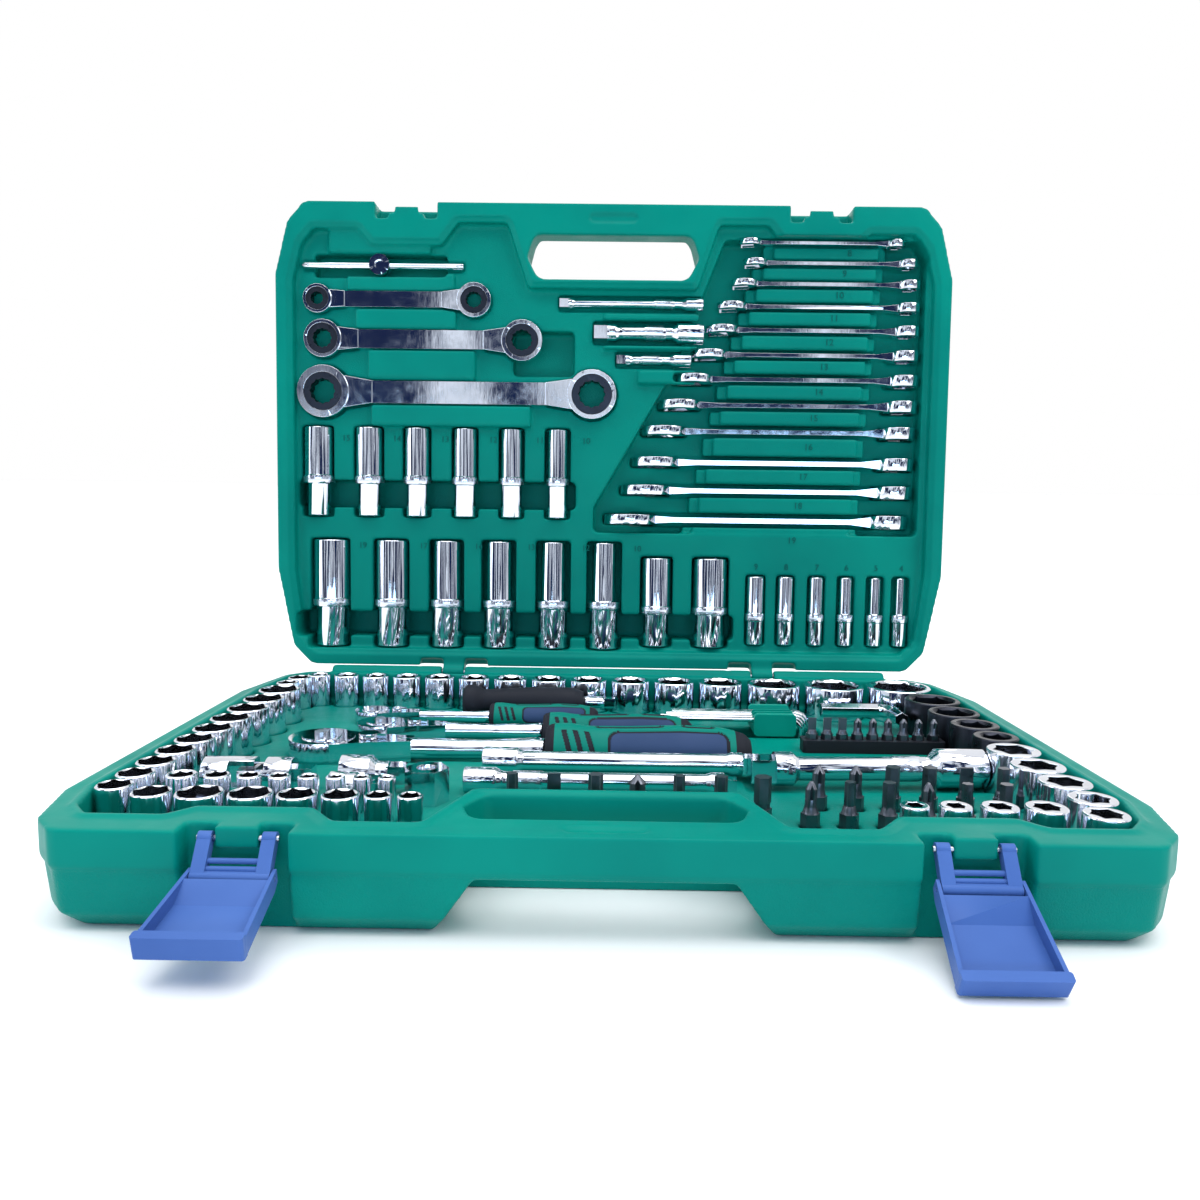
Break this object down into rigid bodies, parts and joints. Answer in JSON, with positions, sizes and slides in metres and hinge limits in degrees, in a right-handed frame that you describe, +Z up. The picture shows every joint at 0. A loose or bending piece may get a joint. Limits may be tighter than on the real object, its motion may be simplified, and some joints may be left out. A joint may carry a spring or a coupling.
{
  "type": "socket wrench set in case",
  "caption": "Hinged carrying case with two latches and moulded trays holding ratchets, sockets, wrenches, bits, bars and keys",
  "frame": {"origin": "centre of the base's underside, on the surface the case stands on", "axes": "+X to the right seen from the front, +Y towards the hinge, +Z up"},
  "size_m": [0.48, 0.4397, 0.3772],
  "materials": {
    "case_plastic": "blow-moulded polyethylene, fine grain below the rims",
    "latch_plastic": "satin moulded nylon",
    "chrome_steel": "polished chrome plate",
    "satin_steel": "satin steel",
    "black_steel": "black phosphate",
    "bit_steel": "grey manganese phosphate",
    "grip_rubber": "black rubber with green and grey panels",
    "button_plastic": "smooth",
    "holder_plastic": "moulded",
    "rack_plastic": "moulded"
  },
  "bodies": {
    "case_base": {"case_base": "case_plastic", "hinge_pins": "satin_steel", "latch_pins": "satin_steel", "sockets_half_inch": "chrome_steel", "sockets_three_eighths": "chrome_steel", "sockets_quarter_inch": "chrome_steel", "impact_sockets": "black_steel", "star_sockets": "chrome_steel", "standing_bits": "bit_steel", "long_extension_bars": "chrome_steel", "hex_keys": "chrome_steel", "hex_key_holder": "holder_plastic", "bit_rack": "rack_plastic", "rack_bits": "bit_steel", "drive_adapters": "chrome_steel", "universal_joint_socket_fork": "chrome_steel", "spinner_handle": "grip_rubber", "spinner_shaft": "chrome_steel"},
    "lid": {"case_lid": "case_plastic", "deep_sockets_half_inch": "chrome_steel", "spark_plug_sockets": "chrome_steel", "deep_sockets_three_eighths": "chrome_steel", "deep_sockets_quarter_inch": "chrome_steel", "combination_wrenches": "chrome_steel", "short_extension_bars": "chrome_steel", "t_bar": "chrome_steel", "ratchet_wrench_8_10": "chrome_steel", "ratchet_wrench_12_13": "chrome_steel", "ratchet_wrench_16_17": "chrome_steel"},
    "latch_link_left": {"latch_link_left": "latch_plastic", "lever_pin_left": "satin_steel"},
    "latch_lever_left": {"latch_lever_left": "latch_plastic"},
    "latch_link_right": {"latch_link_right": "latch_plastic", "lever_pin_right": "satin_steel"},
    "latch_lever_right": {"latch_lever_right": "latch_plastic"},
    "ratchet_half_inch": {"ratchet_half_inch_body": "chrome_steel", "ratchet_half_inch_grip": "grip_rubber"},
    "ratchet_half_inch_drive": {"ratchet_half_inch_drive": "chrome_steel"},
    "ratchet_half_inch_selector": {"ratchet_half_inch_selector": "chrome_steel"},
    "ratchet_half_inch_button": {"ratchet_half_inch_button": "satin_steel"},
    "ratchet_three_eighths": {"ratchet_three_eighths_body": "chrome_steel", "ratchet_three_eighths_grip": "grip_rubber"},
    "ratchet_three_eighths_drive": {"ratchet_three_eighths_drive": "chrome_steel"},
    "ratchet_three_eighths_selector": {"ratchet_three_eighths_selector": "chrome_steel"},
    "ratchet_three_eighths_button": {"ratchet_three_eighths_button": "satin_steel"},
    "ratchet_quarter_inch": {"ratchet_quarter_inch_body": "chrome_steel", "ratchet_quarter_inch_grip": "grip_rubber"},
    "ratchet_quarter_inch_drive": {"ratchet_quarter_inch_drive": "chrome_steel"},
    "ratchet_quarter_inch_selector": {"ratchet_quarter_inch_selector": "chrome_steel"},
    "ratchet_quarter_inch_button": {"ratchet_quarter_inch_button": "satin_steel"},
    "ratchet_ring_8": {"ratchet_ring_8": "black_steel"},
    "ratchet_ring_10": {"ratchet_ring_10": "black_steel"},
    "ratchet_ring_12": {"ratchet_ring_12": "black_steel"},
    "ratchet_ring_13": {"ratchet_ring_13": "black_steel"},
    "ratchet_ring_16": {"ratchet_ring_16": "black_steel"},
    "ratchet_ring_17": {"ratchet_ring_17": "black_steel"},
    "t_bar_head": {"t_bar_head": "chrome_steel"},
    "universal_joint_cross": {"universal_joint_cross": "satin_steel"},
    "universal_joint_square_fork": {"universal_joint_square_fork": "chrome_steel"}
  },
  "joints": [
    {"name": "lid_hinge", "type": "hinge", "parent": "case_base", "child": "lid", "pos_m": [0, 0.169, 0.044], "axis": [-1, 0, 0], "range_deg": [-92.5, 0]},
    {"name": "latch_link_left_hinge", "type": "hinge", "parent": "case_base", "child": "latch_link_left", "pos_m": [-0.1465, -0.157, 0.039], "axis": [1, 0, 0], "range_deg": [-117, 0]},
    {"name": "latch_lever_left_hinge", "type": "hinge", "parent": "latch_link_left", "child": "latch_lever_left", "pos_m": [-0.1465, -0.16618, 0.02589], "axis": [-1, 0, 0], "range_deg": [-195, 0]},
    {"name": "latch_link_right_hinge", "type": "hinge", "parent": "case_base", "child": "latch_link_right", "pos_m": [0.1465, -0.157, 0.039], "axis": [1, 0, 0], "range_deg": [-117, 0]},
    {"name": "latch_lever_right_hinge", "type": "hinge", "parent": "latch_link_right", "child": "latch_lever_right", "pos_m": [0.1465, -0.16618, 0.02589], "axis": [-1, 0, 0], "range_deg": [-178, 0]},
    {"name": "ratchet_half_inch_lift", "type": "slide", "parent": "case_base", "child": "ratchet_half_inch", "axis": [0, 0, 1], "range_m": [0, 0.12]},
    {"name": "ratchet_half_inch_drive_spin", "type": "hinge", "parent": "ratchet_half_inch", "child": "ratchet_half_inch_drive", "pos_m": [-0.163, 0.014, 0.0292], "axis": [0, 0, 1], "continuous": true},
    {"name": "ratchet_half_inch_selector_turn", "type": "hinge", "parent": "ratchet_half_inch", "child": "ratchet_half_inch_selector", "pos_m": [-0.136, 0.014, 0.0292], "axis": [0, 0, 1], "range_deg": [-25, 25]},
    {"name": "ratchet_half_inch_button_press", "type": "slide", "parent": "ratchet_half_inch_drive", "child": "ratchet_half_inch_button", "axis": [0, 0, -1], "range_m": [0, 0.0016], "stiffness_N_per_m": 300},
    {"name": "ratchet_three_eighths_lift", "type": "slide", "parent": "case_base", "child": "ratchet_three_eighths", "axis": [0, 0, 1], "range_m": [0, 0.12]},
    {"name": "ratchet_three_eighths_drive_spin", "type": "hinge", "parent": "ratchet_three_eighths", "child": "ratchet_three_eighths_drive", "pos_m": [-0.139, 0.056, 0.0292], "axis": [0, 0, 1], "continuous": true},
    {"name": "ratchet_three_eighths_selector_turn", "type": "hinge", "parent": "ratchet_three_eighths", "child": "ratchet_three_eighths_selector", "pos_m": [-0.11794, 0.056, 0.0292], "axis": [0, 0, 1], "range_deg": [-25, 25]},
    {"name": "ratchet_three_eighths_button_press", "type": "slide", "parent": "ratchet_three_eighths_drive", "child": "ratchet_three_eighths_button", "axis": [0, 0, -1], "range_m": [0, 0.00125], "stiffness_N_per_m": 300},
    {"name": "ratchet_quarter_inch_lift", "type": "slide", "parent": "case_base", "child": "ratchet_quarter_inch", "axis": [0, 0, 1], "range_m": [0, 0.12]},
    {"name": "ratchet_quarter_inch_drive_spin", "type": "hinge", "parent": "ratchet_quarter_inch", "child": "ratchet_quarter_inch_drive", "pos_m": [-0.153, 0.093, 0.0292], "axis": [0, 0, 1], "continuous": true},
    {"name": "ratchet_quarter_inch_selector_turn", "type": "hinge", "parent": "ratchet_quarter_inch", "child": "ratchet_quarter_inch_selector", "pos_m": [-0.1368, 0.093, 0.0292], "axis": [0, 0, 1], "range_deg": [-25, 25]},
    {"name": "ratchet_quarter_inch_button_press", "type": "slide", "parent": "ratchet_quarter_inch_drive", "child": "ratchet_quarter_inch_button", "axis": [0, 0, -1], "range_m": [0, 0.00096], "stiffness_N_per_m": 300},
    {"name": "ratchet_ring_8_spin", "type": "hinge", "parent": "lid", "child": "ratchet_ring_8", "pos_m": [-0.211, 0.18804, 0.31042], "axis": [0, -0.999, 0.0436], "continuous": true},
    {"name": "ratchet_ring_10_spin", "type": "hinge", "parent": "lid", "child": "ratchet_ring_10", "pos_m": [-0.099, 0.18804, 0.31042], "axis": [0, -0.999, 0.0436], "continuous": true},
    {"name": "ratchet_ring_12_spin", "type": "hinge", "parent": "lid", "child": "ratchet_ring_12", "pos_m": [-0.2075, 0.18732, 0.28243], "axis": [0, -0.999, 0.0436], "continuous": true},
    {"name": "ratchet_ring_13_spin", "type": "hinge", "parent": "lid", "child": "ratchet_ring_13", "pos_m": [-0.0645, 0.18732, 0.28243], "axis": [0, -0.999, 0.0436], "continuous": true},
    {"name": "ratchet_ring_16_spin", "type": "hinge", "parent": "lid", "child": "ratchet_ring_16", "pos_m": [-0.2075, 0.18618, 0.24494], "axis": [0, -0.999, 0.0436], "continuous": true},
    {"name": "ratchet_ring_17_spin", "type": "hinge", "parent": "lid", "child": "ratchet_ring_17", "pos_m": [-0.014, 0.18618, 0.24494], "axis": [0, -0.999, 0.0436], "continuous": true},
    {"name": "t_bar_head_slide", "type": "slide", "parent": "lid", "child": "t_bar_head", "axis": [1, 0, 0], "range_m": [-0.038, 0.038]},
    {"name": "universal_joint_first_pin", "type": "hinge", "parent": "case_base", "child": "universal_joint_cross", "pos_m": [-0.178, -0.058, 0.0345], "axis": [0, 0, 1], "range_deg": [-20, 20]},
    {"name": "universal_joint_second_pin", "type": "hinge", "parent": "universal_joint_cross", "child": "universal_joint_square_fork", "pos_m": [-0.178, -0.058, 0.0345], "axis": [0, -1, 0], "range_deg": [0, 20]}
  ],
  "couplings": [
    {"joint": "latch_lever_left_hinge", "follows": "latch_link_left_hinge", "ratio": 1.6667},
    {"joint": "latch_lever_right_hinge", "follows": "latch_link_right_hinge", "ratio": 1.5214}
  ]
}
